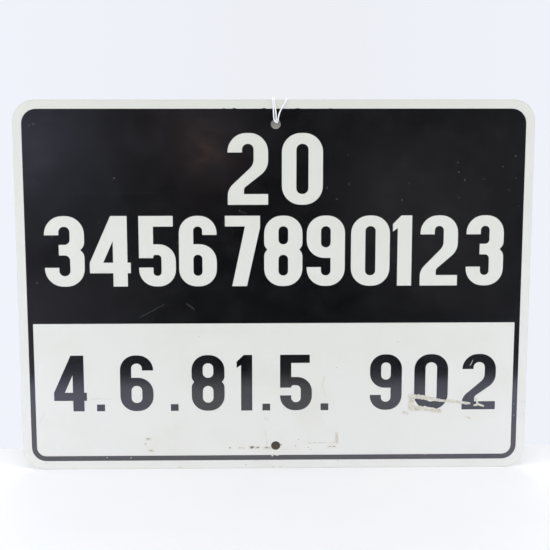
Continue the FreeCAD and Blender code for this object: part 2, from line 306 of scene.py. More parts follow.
def fleck(x, z, wide, tall, lean=0.0, seed=0, points=11):
    """A ragged spot: an ellipse turned by an angle, whose radius wavers from point to point."""
    chance = np.random.default_rng(seed + int(abs(x) * 7 + abs(z) * 13))
    angle = np.linspace(0, 2 * np.pi, points, endpoint=False)
    reach = chance.uniform(0.62, 1.12, points)
    spot = np.stack([wide / 2 * reach * np.cos(angle), tall / 2 * reach * np.sin(angle)], -1)
    turn = np.array([[math.cos(lean), math.sin(lean)], [-math.sin(lean), math.cos(lean)]])
    return spot @ turn + (x, z)


def scrape(points, widths, seed=0, spacing=0.9):
    """A ragged strip along a line: each edge lies half its width off the line, and wavers."""
    line = np.array(points, float)
    along = lengths(line)
    t = np.linspace(0, along[-1], max(4, int(along[-1] / spacing)))
    centre = np.stack([np.interp(t, along, line[:, i]) for i in (0, 1)], -1)
    tangent = unit(np.gradient(centre, t, axis=0))
    side = np.stack([-tangent[:, 1], tangent[:, 0]], -1)
    half = np.interp(t, along, widths)[:, None] / 2
    chance = np.random.default_rng(seed + 5)
    edges = chance.uniform(0.7, 1.18, (2, len(t), 1)) * half
    return np.concatenate([centre + side * edges[0], (centre - side * edges[1])[::-1]])


# Specks where the ink has come off and the coat shows: x, z, width, height
INK_SPECKS = [
    (-157.6, -52.2, 0.8, 0.6), (-239, -1.3, 0.7, 0.6), (-234.6, 0.1, 0.6, 0.8), (-219.6, -110, 0.7, 0.6),
    (-235.7, -155.7, 0.6, 0.7), (178.3, -37.6, 0.9, 0.7), (179.5, -46.9, 0.6, 0.6),
    (185.6, -54.7, 0.7, 0.6), (204.3, -53.8, 0.6, 0.6), (222.6, -42, 0.7, 0.6), (235, -31.3, 0.6, 0.7),
    (235.7, -52.8, 0.6, 0.5), (229.2, -64.6, 0.7, 0.6), (180.1, -71.9, 0.8, 0.6),
    (130.6, -57.6, 0.7, 0.6), (124, -74.3, 0.6, 0.7), (71.8, -58.4, 0.7, 0.6), (70.5, -30.1, 0.6, 0.6),
    (60.1, -73.2, 0.7, 0.6), (50.2, -62.3, 0.6, 0.6), (-35.3, -84.2, 0.7, 0.5), (-3.4, -334.3, 1.7, 1.9),
    (1.3, -333.9, 5, 0.8), (-170.8, -335.3, 1.2, 1), (-146.6, -335.8, 0.7, 2), (241.5, -293.3, 0.7, 1.2),
    (240.9, -281.2, 0.6, 0.8), (152.4, -333.9, 1.3, 1),
]

# Low bumps where the ink has crept over its top edge: x, z, width, height
INK_BUMPS = [
    (-50.5, 14.7, 3.2, 1.3), (-40.4, 14.7, 4.2, 1.6), (-11.3, 14.7, 4.6, 1.5), (21.6, 14.7, 4, 1.5),
    (53.6, 14.7, 3.4, 1.2),
]

# Chips through the coat, down to the metal: x, z, width, height, lean
COAT_CHIPS = [
    (-46.3, -326, 1.6, 1.3, 0.2), (-36.2, -326, 1.5, 0.8, 0.1), (-32.6, -326.2, 1.2, 0.7, 0.3),
    (-24, -325.6, 4, 2.8, 0.7), (-18.1, -325.6, 3.2, 1.7, 0), (-9.4, -325.8, 3, 1.5, -0.1),
    (-6.8, -325.2, 1, 0.8, 0.5), (5.6, -323, 1.8, 1.6, 0), (23, -317.6, 1, 0.9, 0),
    (20.1, -324.1, 1.1, 0.9, 0), (33.2, -326, 1.4, 1.1, 0.3), (35.3, -328.2, 1, 0.9, 0),
    (55.1, -325, 1.9, 1.4, 0.1), (59.6, -325, 1.8, 1.3, 0), (-129.1, -316.1, 1.9, 1.1, 0.2),
    (-131.7, -321.2, 1.1, 1, 0.4), (-126, -328.4, 1.9, 1.1, -0.1), (61.5, -243, 0.9, 0.8, 0),
    (-76, -210.8, 0.8, 0.8, 0), (122.5, -216.8, 0.9, 0.8, 0), (-2.4, -346.2, 1.5, 0.7, 0),
    (141.6, -286.8, 1, 0.9, 0), (4.4, -346.2, 1.2, 0.7, 0),
]

# Scrapes across the lower figures: points of a line, and its width at each
INK_SCRAPES = [
    ([(135.4, -273.0), (144.5, -273.5), (153.6, -275.3), (160, -276.4)], [5.6, 4.8, 4.1, 3.3]),
    ([(160, -276.4), (168.2, -277.6), (176.1, -278.3), (187, -279.5)], [3.3, 2.8, 2.6, 2.8]),
    ([(187, -279.5), (192, -280.2), (197.1, -280.8)], [2.8, 3.0, 1.8]),
    ([(137.4, -271.4), (137.2, -277.7), (136.8, -283.6), (139.6, -287.4)], [4.2, 5.4, 6.4, 5.2]),
    ([(137.6, -284.6), (148.1, -285.2), (156.0, -286.6), (165.6, -288.6)], [5.8, 4.6, 4.4, 3.0]),
    ([(200.2, -282.9), (204.4, -281.6), (210.9, -283.7)], [1.6, 2.6, 1.4]),
    ([(201.8, -275.4), (203.6, -278.4), (204.4, -281.6)], [1.4, 2.2, 2.0]),
    ([(195.4, -241.8), (197.0, -238.6), (198.6, -235.4)], [0.4, 0.6, 0.4]),
    ([(156.6, -240.2), (157.6, -243.6), (158.0, -247.0)], [0.5, 1.1, 0.6]),
]

# Tan stains on the coat: x and z of the start and the end, half width, how strong
STAINS = [
    (136, -273, 153.6, -275.2, 2.7, 1), (153.6, -275.2, 187, -279.5, 1.7, 1),
    (187, -279.5, 197.1, -280.8, 1.8, 0.9), (137.4, -273, 136.8, -285, 3.2, 1),
    (138, -285.4, 148.1, -285.4, 2.9, 1), (148.1, -285.4, 165.6, -288.6, 2.4, 1),
    (200.2, -282.9, 211.4, -283.6, 1.5, 1), (201.8, -275.4, 204.6, -282.4, 1.2, 1),
    (129.4, -289.7, 133.4, -290.6, 1.5, 0.9), (193.4, -294.6, 196.6, -296.2, 1, 0.9),
    (-11.6, -326.1, -4.4, -326.6, 1.1, 0.8), (61.8, -311.4, 61.9, -320.4, 1.6, 1),
    (33, -321.4, 61.6, -320.9, 0.5, 0.7), (-10.6, -308.6, -8.8, -324.2, 0.45, 0.5),
    (-232.9, -288.6, -238.2, -300, 0.7, 0.3), (-185, -274, -166, -274.2, 0.9, 0.3),
    (49, -251.4, 47.3, -261.4, 0.4, 0.8), (47.3, -261.4, 50.2, -272.4, 0.4, 0.7),
    (-10.6, -295, -8.4, -296.4, 1.8, 0.3), (-232.9, -340.8, -232, -341.2, 0.7, 0.5),
    (-205.6, -346.2, -202.6, -346.2, 0.5, 0.7), (-100, -346, -94, -346.1, 0.5, 0.7),
    (-30.6, -343.8, -29.6, -344, 0.6, 0.5), (-23, -339.8, -17, -339.8, 0.4, 0.4),
    (63, -339.6, 64, -340.4, 0.8, 0.5), (249, -279, 252.4, -279.4, 1, 0.4),
    (248.6, -291.2, 252.4, -292, 0.9, 0.3), (-130.6, -316.2, -127.4, -316.2, 1.3, 0.8),
    (-132.4, -321.3, -131.2, -321.3, 0.8, 0.6), (-128, -328.4, -124.4, -328.7, 1.3, 0.8),
    (-26.2, -325.8, -22, -325.6, 1.5, 0.75), (-19.6, -326, -16.4, -325.8, 1.2, 0.7),
    (-47, -326.1, -45.4, -326.1, 1.1, 0.6), (-37, -326.2, -31.8, -326.3, 0.9, 0.45),
    (53.8, -325.4, 60.2, -325.2, 1.1, 0.65),
]

# Scratches in the black field, in the same order
SCRATCHES = [
    (-215.4, -66.8, -108.2, -66.9, 0.25, 0.07), (-82.5, -123.3, -82.7, -138.2, 0.30, 0.35),
    (-135.9, -191.4, -109.9, -177.3, 0.30, 0.30), (-88.1, -177.4, -81.2, -182.5, 0.70, 0.22),
    (-96.4, -116.6, -94, -118, 0.60, 0.35), (-36.4, -84.6, -28.6, -87.4, 0.35, 0.28),
]


# Meshes


def mesh_piece(name, points, faces, straight, material, node=None, slot=None):
    """A mesh object at the origin, with its points in millimetres, that rides on the one body if it has
    a slot.

    A piece of string is smooth, and also keeps where each point would lie on a straight one.
    """
    mesh = bpy.data.meshes.new(name)
    mesh.from_pydata(points * MM, [], faces)
    mesh.materials.append(material)
    if straight is not None:
        mesh.shade_smooth()
        places = mesh.attributes.new(STRAIGHT, "FLOAT_VECTOR", "POINT")
        places.data.foreach_set("vector", (straight * MM).ravel())
    piece = bpy.data.objects.new(name, mesh)
    bpy.context.scene.collection.objects.link(piece)
    if slot:
        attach(piece, BODY)
    if node:
        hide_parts(node)
    return piece


def within(points, rings):
    """Whether each point lies inside an odd number of closed outlines.

    They are counted by the sides that a level line from the point to the right crosses.
    """
    start = np.concatenate(rings)
    end = np.concatenate([np.roll(ring, -1, 0) for ring in rings])
    x, z = points[:, :1], points[:, 1:]
    spans = (start[:, 1] > z) != (end[:, 1] > z)
    rise = end[:, 1] - start[:, 1]
    rise[rise == 0] = 1.0
    crossing = start[:, 0] + (z - start[:, 1]) / rise * (end[:, 0] - start[:, 0])
    return (spans & (crossing > x)).sum(1) % 2 == 1


def flat_layer(name, shapes, cuts, low, high, material, node=None, slot=None):
    """A thin sheet made of some shapes less some cuts, as a closed shell.

    Each shape and cut is a group of outlines. The plane is divided into triangles that keep to
    them all. Those in a shape and in no cut are kept, at both depths, and a wall is raised on
    each side that only one of them has.
    """
    rings = [ring for group in (*shapes, *cuts) for ring in group]
    counts = np.array([len(ring) for ring in rings])
    first = np.repeat(counts.cumsum() - counts, counts)
    index = np.arange(counts.sum())
    after = first + (index - first + 1) % np.repeat(counts, counts)
    flat = [Vector(p) for p in np.concatenate(rings).tolist()]
    edges = np.stack([index, after], -1).tolist()
    inside_outlines, tolerance = 1, 1e-5
    found = delaunay_2d_cdt(flat, edges, [], inside_outlines, tolerance, False)
    plane, triangles = np.array([p[:] for p in found[0]]), np.array(found[2])
    middle = plane[triangles].mean(1)
    kept = np.any([within(middle, group) for group in shapes], axis=0)
    kept &= ~np.any([within(middle, group) for group in cuts], axis=0)
    triangles = triangles[kept]
    sides = np.concatenate([triangles[:, [i, (i + 1) % 3]] for i in range(3)])
    codes = sides.min(1) * len(plane) + sides.max(1)
    _, where, times = np.unique(codes, return_index=True, return_counts=True)
    rim = sides[where[times == 1]]
    used, renamed = np.unique(triangles, return_inverse=True)
    triangles = renamed.reshape(-1, 3)
    rim = np.searchsorted(used, rim)
    plane, many = plane[used], len(used)
    front = np.insert(plane, 1, low, axis=1)
    back = np.insert(plane, 1, high, axis=1)
    walls = np.stack([rim[:, 1], rim[:, 0], rim[:, 0] + many, rim[:, 1] + many], -1)
    faces = [*triangles.tolist(), *(triangles[:, ::-1] + many).tolist(), *walls.tolist()]
    mesh_piece(name, np.concatenate([front, back]), faces, None, material, node, slot)


def twisted_tube(path, radius, plies, twist, sides=30):
    """A string's surface along a path: points, faces with closed ends, and straightened points.

    A groove, a fifth of the radius deep, runs between the plies and turns once in each length
    of twist. A straightened point has its place in its ring as X and Y, and along the path as Z.
    """
    along, tangent = lengths(path), unit(np.gradient(path, axis=0))
    first = unit(np.array([1.0, 0, 0]) - tangent * tangent[:, :1])
    second = np.cross(tangent, first)
    angle = np.linspace(0, 2 * np.pi, sides, endpoint=False)
    groove = np.abs(np.cos(plies * (angle / 2 - np.pi * along[:, None] / twist)))
    reach = (radius * (0.8 + 0.2 * groove))[..., None]
    cos, sin = np.cos(angle), np.sin(angle)
    spread = first[:, None] * cos[:, None] + second[:, None] * sin[:, None]
    rings = path[:, None] + reach * spread
    around, start = np.arange(sides), np.arange(len(path) - 1)[:, None] * sides
    here, beside = start + around, start + (around + 1) % sides
    faces = np.stack([here, beside, beside + sides, here + sides], -1).reshape(-1, 4).tolist()
    caps = [around[::-1].tolist(), (around + start[-1] + sides).tolist()]
    across = (reach[..., 0] * cos, reach[..., 0] * sin)
    straight = np.stack([*across, np.broadcast_to(along[:, None], reach.shape[:2])], -1)
    return rings.reshape(-1, 3), faces + caps, straight.reshape(-1, 3)


def joined(tubes):
    """Several tubes as one."""
    counts = np.cumsum([0] + [len(points) for points, _, _ in tubes])
    faces = [[n + count for n in face] for (_, own, _), count in zip(tubes, counts) for face in own]
    points, straight = (np.concatenate([tube[i] for tube in tubes]) for i in (0, 2))
    return points, faces, straight


# Materials


def add_node(tree, kind, inputs=None, output=0, **settings):
    """Add a shader node, set its attributes, fill or link its inputs, and return one output.

    An input is another node's output, a value, or a colour as sRGB hex. The functions below get
    this one as add, bound to their tree.
    """
    node = tree.nodes.new("ShaderNode" + kind)
    for name, value in settings.items():
        setattr(node, name, value)
    for key, value in (inputs or {}).items():
        if isinstance(value, bpy.types.NodeSocket):
            tree.links.new(value, node.inputs[key])
        else:
            node.inputs[key].default_value = linear(value) if isinstance(value, str) else value
    return node.outputs[output] if node.outputs else None


ON_OBJECT = {"kind": "TexCoord", "output": "Object"}
ON_STRING = {"kind": "Attribute", "output": "Vector", "attribute_name": STRAIGHT}
ALL_ROUND = {"kind": "TexCoord", "output": "Generated"}


def shaded(data, end, where, paint, *given):
    """Fill a new material or world with the nodes that a function adds, and return it."""
    data.use_nodes = True
    data.node_tree.nodes.clear()
    add = partial(add_node, data.node_tree)
    add(end, {"Surface": paint(add, add(**where), *given)})
    return data


def new_material(name, paint, *given, where=ON_OBJECT):
    """A material whose nodes come from a function, which gets add and where each point is."""
    return shaded(bpy.data.materials.new(name), "OutputMaterial", where, paint, *given)


def sized(where, size, **more):
    """The inputs of a pattern whose features are this many millimetres across."""
    return {"Vector": where, "Scale": 1 / (size * MM), **more}


def levels(low, high, most=1.0, least=0.0):
    """The inputs that spread what lies between two levels over a range of shares."""
    return {"From Min": low, "From Max": high, "To Min": least, "To Max": most}


def clouds(add, where, size, low, high, most=1.0, least=0.0, **more):
    """A cloudy share: noise of some millimetres, spread out between two of its levels."""
    noise = add("TexNoise", sized(where, size, **more))
    return add("MapRange", {"Value": noise, **levels(low, high, most, least)})


def layered(add, base, *layers):
    """A colour under some layers, each of which is a share and a colour.

    A colour mix has inputs and outputs of one name for every type, so they are told by number.
    """
    share_in, first_in, second_in, mixed_out = 0, 6, 7, 2
    for covered, tone in layers:
        mix = {share_in: covered, first_in: base, second_in: tone}
        base = add("Mix", mix, mixed_out, data_type="RGBA")
    return base


def worn_lines(add, where, lines, ragged=0.6, soft=0.5):
    """How strongly each place belongs to any of some worn lines, whose edges are ragged.

    Each line's nearest point is where the place, shifted a little by noise, falls square on it,
    held between its ends. The strongest line wins.
    """
    cloud = add("TexNoise", sized(where, 1.8, Detail=2.0), "Color")
    inputs = {0: cloud, 1: (ragged * MM * 2,) * 3, 2: (-ragged * MM,) * 3}
    shift = add("VectorMath", inputs, operation="MULTIPLY_ADD")
    moved = add("VectorMath", {0: where, 1: shift}, operation="ADD")
    flat = add("VectorMath", {0: moved, 1: (1, 0, 1)}, operation="MULTIPLY")
    strongest = 0.0
    for x0, z0, x1, z1, half, strength in lines:
        start = Vector((x0, 0, z0)) * MM
        way = Vector((x1 - x0, 0, z1 - z0)) * MM
        gone = add("VectorMath", {0: flat, 1: start}, operation="SUBTRACT")
        inputs = {0: gone, 1: way / way.length_squared}
        along = add("VectorMath", inputs, "Value", operation="DOT_PRODUCT")
        along = add("Clamp", {"Value": along})
        nearest = add("VectorMath", {0: way, "Scale": along}, operation="SCALE")
        distance = add("VectorMath", {0: gone, 1: nearest}, "Value", operation="DISTANCE")
        rim = levels(half * MM * (1 + soft), half * MM * (1 - soft), strength)
        inputs = {"Value": distance, **rim}
        here = add("MapRange", inputs, interpolation_type="SMOOTHSTEP")
        strongest = add("Math", {0: here, 1: strongest}, operation="MAXIMUM")
    return strongest


def enamel(add, where, settings, wear):
    """Baked white enamel, sprayed and stoved: a warm white with a faint orange-peel gloss.

    It has tan stains along the scrapes and dirt low down, and painted shade: it is darker and warmer
    high up.
    """
    height = add("SeparateXYZ", {"Vector": where}, "Z")
    # painted shade: the coat is painted darker and warmer towards the top, where less light comes up off
    # the table
    rise = add("MapRange", {"Value": height, **levels(-0.34, 0.0)})
    yellow = clouds(add, where, 60, 0.48, 0.8, 0.5, Detail=5.0, Roughness=0.6)

    # fine dirt: single grains, more of them near the lower edge
    grains = clouds(add, where, 2.2, 0.67, 0.77, Detail=3.0, Roughness=0.6)
    low = add("MapRange", {"Value": height, **levels(-0.26, -0.345, 0.32, 0.05)})
    dirt = add("Math", {0: grains, 1: low}, operation="MULTIPLY")

    # the last two millimetres over the lower edge are tan, on a wavering line
    waver = add("TexNoise", sized(where, 9, Detail=4.0, Roughness=0.6))
    waver = add("Math", {0: waver, 1: 2.4 * MM, 2: height}, operation="MULTIPLY_ADD")
    tan_edge_band = add("MapRange", {"Value": waver, **levels(-344.6 * MM, -346.6 * MM, 0.6)})

    # tan stains, streaked along the scrapes
    marks = worn_lines(add, where, STAINS, ragged=0.9, soft=0.45)
    marks = add("Math", {0: marks, 1: wear.stains}, operation="MULTIPLY")
    along = add("Mapping", {"Vector": where, "Scale": (0.5, 1, 1)})
    streaks = clouds(add, along, 1.6, 0.32, 0.56, Detail=4.0, Roughness=0.7)
    residue = (*wear.residue, 1.0)
    tan = layered(add, "#9f967f", (streaks, residue))

    layers = [(rise, (*settings.coat, 1.0)), (yellow, "#d5d4c7"), (dirt, "#8f887a")]
    base = layered(add, "#e0dfda", *layers, (tan_edge_band, residue), (marks, tan))
    shine = clouds(add, where, 18, 0.3, 0.8, 0.42, 0.3, Detail=5.0, Roughness=0.6)
    dull = add("Math", {0: marks, 1: 0.75}, operation="MULTIPLY")
    shine = add("Math", {0: shine, 1: dull}, operation="MAXIMUM")

    # orange peel, 1.4 mm from dimple to dimple and 12 thousandths deep
    peel = add("TexNoise", sized(where, 1.4, Detail=2.0))
    peel = add("Bump", {"Strength": 0.25, "Distance": 0.012 * MM, "Height": peel})
    inputs = {"Base Color": base, "Roughness": shine, "IOR": 1.5, "Normal": peel}
    return add("BsdfPrincipled", inputs)


def screen_ink(add, where, settings, wear):
    """Gloss black screen ink, pulled through a mesh and stoved over the white coat.

    Dust, wiping marks and hairline scratches dull its gloss, and show paler than the ink.
    """
    lines = worn_lines(add, where, SCRATCHES, ragged=0.25)
    pale = add("Math", {0: lines, 1: wear.scratches}, operation="MULTIPLY")

    # hairlines in three directions, each where a stretched noise peaks, and in patches only
    patches = clouds(add, where, 70, 0.45, 0.62, Detail=4.0, Roughness=0.6)
    for turn, size in ((0.12, 4.0), (1.25, 5.0), (-0.6, 4.5)):
        turned = {"Vector": where, "Rotation": (0, turn, 0), "Scale": (0.08, 1, 2.4)}
        turned = add("Mapping", turned)
        most = 0.32 * wear.scratches
        hair = clouds(add, turned, size, 0.735, 0.8, most, Detail=3.0, Distortion=0.4)
        hair = add("Math", {0: hair, 1: patches}, operation="MULTIPLY")
        pale = add("Math", {0: pale, 1: hair}, operation="MAXIMUM")

    # dust: a speck in the middle of some cells, 9 mm apart
    specks = add("TexVoronoi", sized(where, 9, Randomness=1.0), "Distance")
    specks = add("MapRange", {"Value": specks, **levels(0.05, 0.025, wear.dust)})
    specks = add("Math", {0: specks, 1: patches}, operation="MULTIPLY")
    pale = add("Math", {0: pale, 1: specks}, operation="MAXIMUM")

    # a thin greasy film that clouds the gloss
    film = clouds(add, where, 30, 0.46, 0.76, 0.022, Detail=6.0, Roughness=0.62)
    pale = add("Math", {0: pale, 1: film}, operation="ADD")
    base = layered(add, (*settings.ink, 1.0), (pale, "#888788"))

    turned = {"Vector": where, "Rotation": (0, 0.5, 0), "Scale": (0.6, 1, 1.3)}
    turned = add("Mapping", turned)
    shine = clouds(add, turned, 30, 0.3, 0.75, 0.18, 0.09, Detail=5.0, Roughness=0.6)
    dull = add("Math", {0: pale, 1: 0.5}, operation="MULTIPLY")
    shine = add("Math", {0: shine, 1: dull}, operation="ADD")
    weave = add("TexNoise", sized(where, 0.9, Detail=2.0))
    weave = add("Bump", {"Strength": 0.12, "Distance": 0.006 * MM, "Height": weave})

    # a higher index than ink has: the photograph shows the table's mirror image overexposed
    inputs = {"Base Color": base, "Roughness": shine, "IOR": 2.1, "Normal": weave}
    inputs["Specular Tint"] = "#f4f2fc"
    return add("BsdfPrincipled", inputs)


def sheet_metal(add, where, settings, wear):
    """Rolled aluminium sheet, mill finish, gone dull: grey, with the rolling lines along X.

    The coat wraps over the front half of its sheared edges, and dirt has settled in its chips.
    """
    depth = add("SeparateXYZ", {"Vector": where}, "Y")

    # rolling lines, drawn out eighty times as long as they are wide
    along = add("Mapping", {"Vector": where, "Scale": (0.012, 1, 1)})
    rolled = add("TexNoise", sized(along, 1.2, Detail=4.0, Roughness=0.6))
    lines = add("MapRange", {"Value": rolled, **levels(0.3, 0.7)})

    # chalky oxide in patches, runs of water marks down the back, dark spots and pale scratches
    chalk = clouds(add, where, 55, 0.42, 0.68, 0.55, Detail=8.0, Roughness=0.62)
    drawn = add("Mapping", {"Vector": where, "Scale": (1, 1, 0.12)})
    runs = clouds(add, drawn, 22, 0.5, 0.75, 0.3, Detail=5.0, Roughness=0.6)
    spots = clouds(add, where, 2.2, 0.7, 0.76, 0.5, Detail=3.0, Roughness=0.6)
    turned = {"Vector": where, "Rotation": (0, 0.8, 0), "Scale": (0.05, 1, 2.2)}
    hair = clouds(add, add("Mapping", turned), 6, 0.74, 0.79, 0.5)

    # dirt in the chips of the front face
    grime = clouds(add, where, 2, 0.35, 0.65, Detail=4.0, Roughness=0.7)
    dirty = layered(add, (*wear.rust, 1.0), (grime, "#8a8478"))
    face = add("MapRange", {"Value": depth, **levels(-1.48 * MM, -1.55 * MM)})

    # the coat ends half way back on the sheared edges, on a wavering line
    waver = add("TexNoise", sized(where, 3, Detail=3.0))
    waver = add("Math", {0: waver, 1: -0.5 * MM, 2: depth}, operation="MULTIPLY_ADD")
    wrapped = add("MapRange", {"Value": waver, **levels(-0.85 * MM, -1.05 * MM)})
    behind = add("Math", {0: 1.0, 1: face}, operation="SUBTRACT")
    wrapped = add("Math", {0: wrapped, 1: behind}, operation="MULTIPLY")

    layers = [(lines, "#bcbdbb"), (chalk, "#8e8f8d"), (runs, "#77767a"), (spots, "#54514c")]
    layers += [(hair, "#d3d4d4"), (face, dirty), (wrapped, (*settings.coat, 1.0))]
    base = layered(add, (*settings.metal, 1.0), *layers)
    covered = add("Math", {0: wrapped, 1: face}, operation="MAXIMUM")
    metallic = add("MapRange", {"Value": covered, **levels(0.0, 1.0, 0.0, 0.85)})
    rough = add("MapRange", {"Value": chalk, **levels(0.0, 0.55, 0.62, 0.42)})
    ridges = add("Bump", {"Strength": 0.3, "Distance": 0.01 * MM, "Height": rolled})
    inputs = {"Base Color": base, "Metallic": metallic, "Roughness": rough, "Normal": ridges}
    return add("BsdfPrincipled", inputs)


def cotton(add, where, settings):
    """Bleached cotton, spun and plied: bright, matt, a little fuzzy, soiled in places.

    The pattern follows the string: it reads the place that a point would have on a straight one.
    """
    drawn = add("Mapping", {"Vector": where, "Scale": (1, 1, 0.3)})
    fibre = add("TexNoise", sized(drawn, 0.2, Detail=4.0, Roughness=0.7))
    soil = clouds(add, where, 9, 0.45, 0.8, 0.35, Detail=3.0)
    # painted shade: the hollows between the fibres, where the bump sinks, are painted greyer
    between = add("MapRange", {"Value": fibre, **levels(0.55, 0.35, 0.3)})
    base = layered(add, (*settings.cotton, 1.0), (soil, "#e6e3dd"), (between, "#d2d1d0"))
    fuzz = add("Bump", {"Strength": 0.6, "Distance": 0.1 * MM, "Height": fibre})
    inputs = {"Base Color": base, "Roughness": 0.9, "Normal": fuzz}
    inputs |= {"Sheen Weight": 0.35, "Sheen Roughness": 0.5}
    return add("BsdfPrincipled", inputs)


def table_top(add, where, settings):
    """A matt white table, with a painted reflection: only in the gloss is its front dimmer, a painted
    shadow in the middle, and bluish to both sides.
    """
    tone = clouds(add, where, 140, 0.3, 0.7, Detail=3.0)
    middle = add("SeparateXYZ", {"Vector": where}, "X")
    middle = add("Math", {0: middle}, operation="ABSOLUTE")
    middle = add("MapRange", {"Value": middle, **levels(0.33, 0.05)})
    painted_reflection_tone = layered(add, "#dfe3f4", (middle, "#d0d0ca"))
    ahead = add("SeparateXYZ", {"Vector": where}, "Y")
    ahead = add("MapRange", {"Value": ahead, **levels(-0.08, -0.2)})
    # painted reflection: glossy rays alone see the table's front in this tone, with a painted shadow in
    # the middle
    glossy = add("LightPath", output="Is Glossy Ray")
    glossy = add("Math", {0: glossy, 1: ahead}, operation="MULTIPLY")
    base = layered(add, (*settings.floor, 1.0), (tone, "#f6f5f3"), (glossy, painted_reflection_tone))
    grain = add("TexNoise", sized(where, 1.2))
    grain = add("Bump", {"Strength": 0.08, "Distance": 0.02 * MM, "Height": grain})
    return add("BsdfPrincipled", {"Base Color": base, "Roughness": 0.75, "Normal": grain})


def hole_shade(add, where, z, top, foot):
    """The tone of the shaded gap behind a hole, from its top to its foot, seen from in front."""
    height = add("SeparateXYZ", {"Vector": where}, "Z")
    tone = add("MapRange", {"Value": height, **levels((z + 4) * MM, (z - 5) * MM)})
    glow = add("Emission", {"Color": layered(add, top, (tone, foot))})
    behind = add("NewGeometry", output="Backfacing")
    return add("MixShader", {0: behind, 1: glow, 2: add("BsdfTransparent")})


# Soft spots of the room that the gloss mirrors: across, up, reach, colour
ROOM_SPOTS = [
    (-0.195, -0.035, 0.075, "#a9acc2"), (-0.2, -0.08, 0.04, "#a2a5b8"), (-0.2, -0.225, 0.07, "#97959f"),
    (0.124, -0.1, 0.08, "#777474"), (0.15, -0.145, 0.05, "#737272"), (-0.135, -0.088, 0.035, "#646a70"),
    (-0.005, -0.19, 0.1, "#121314"), (-0.028, -0.04, 0.036, "#83868a"), (-0.05, -0.095, 0.07, "#020304"),
    (-0.038, -0.062, 0.022, "#ffd0c0"), (-0.055, -0.03, 0.024, "#a8908a"),
]


def pale_room(add, way, settings):
    """A pale backdrop that lights evenly, and that is a dim room in what the gloss mirrors."""
    sideways = add("SeparateXYZ", {"Vector": way}, "X")
    off = add("Math", {0: sideways, 1: -0.04}, operation="ADD")
    off = add("Math", {0: off}, operation="ABSOLUTE")
    off = add("MapRange", {"Value": off, **levels(0.03, 0.24)})
    seen = layered(add, "#edeff5", (off, (*settings.backdrop, 1.0)))

    # what the gloss mirrors is paler to both sides, and behind the sign, with a few soft blotches
    blotch = add("TexNoise", {"Vector": way, "Scale": 14.0, "Detail": 2.5})
    blotch = add("MapRange", {"Value": blotch, **levels(0.48, 0.7, 0.5)})
    dim = add("Math", {0: off, 1: 0.3, 2: blotch}, operation="MULTIPLY_ADD")
    layers = [(dim, "#7f7f80")]
    for across, up, reach, code in ROOM_SPOTS:
        away = {0: way, 1: Vector((across, -1, up)).normalized()}
        away = add("VectorMath", away, "Value", operation="DISTANCE")
        away = {"Value": away, **levels(reach, reach / 4, 0.8)}
        spot = add("MapRange", away, interpolation_type="SMOOTHSTEP")
        layers.append((spot, code))
    behind = add("SeparateXYZ", {"Vector": way}, "Y")
    behind = add("MapRange", {"Value": behind, **levels(0.0, 0.4)})
    dim = layered(add, "#0b0c0e", *layers, (behind, "#c9cbce"))
    glossy = add("LightPath", output="Is Glossy Ray")
    straight = add("LightPath", output="Is Camera Ray")
    shown = layered(add, "#d9dbde", (glossy, dim), (straight, seen))
    return add("Background", {"Color": shown})


# The string's route, and its knot's depth, side and top
DEEP, KNOT_AXIS, KNOT_TOP = 2.4, 1.6, -30.0

# x, y and z of the route's points, which are the part's own
ROUTE = [
    (0.85, 2.4, -30), (0.85, 2.4, -26.5), (-1.4, 1.9, -19.5), (-4.2, 1.3, -11.5), (-6.3, 0.9, -3.5),
    (-6.6, 0.85, 4.5), (-5.4, 0.8, 12), (-3.6, 0.8, 19.3), (-3, 0.85, 24.65),
    # the left strand: down the front, and across under the others into the hole
    (-3, -2.7, 24.65), (-2.75, -2.65, 20.5), (-2.3, -2.65, 16), (-2.1, -2.65, 11), (-1.9, -2.8, 6.6),
    (-1.2, -3, 2.7), (1.5, -3.05, 1.3),
    # up the back, behind the others
    (1.5, 2.5, 1.3), (1.2, 2.75, 6), (0.4, 1.9, 12), (-0.7, 0.85, 19.3), (-1.35, 0.85, 24.65),
    # the middle strand: down the front into the hole
    (-1.35, -2.7, 24.65), (-1.1, -2.65, 19.9), (-0.45, -2.65, 15), (0.45, -2.7, 8.8), (0.5, -3.1, 3.4),
    # slanting up the back to the right
    (0.5, 1.25, 3.4), (1.9, 0.9, 8.2), (5.2, 0.8, 13.6), (8.9, 0.8, 19.7), (10.9, 0.85, 24.65),
    # the right strand: slanting down the front into the hole
    (10.8, -2.7, 24.65), (9, -2.65, 20.9), (5.3, -2.65, 14.6), (2.8, -2.75, 8.5), (2.15, -3.15, 2.95),
    # round the right of the hole behind, and down to the knot
    (2.15, 1.25, 2.95), (5.3, 0.95, 4.9), (7.4, 0.9, 0.8), (7.2, 1.2, -7.2), (5.6, 1.6, -14.6),
    (3.8, 2.1, -21.4), (2.35, 2.4, -26.5), (2.35, 2.4, -30),
]


def smooth_line(points, steps=10):
    """Points along the quadratic B-spline of these control points.

    A span runs from the middle of one leg of the control line to the middle of the next, and
    the first and last spans reach its ends.
    """
    points = np.array(points, float)
    middles = (points[1:-2] + points[2:-1]) / 2
    start, end = np.concatenate([points[:1], middles]), np.concatenate([middles, points[-1:]])
    u = np.linspace(0, len(start), steps * (len(points) - 1))
    i = np.minimum(u.astype(int), len(start) - 1)
    t = (u - i)[:, None]
    return (1 - t) ** 2 * start[i] + 2 * t * (1 - t) * points[i + 1] + t**2 * end[i]


# Operators


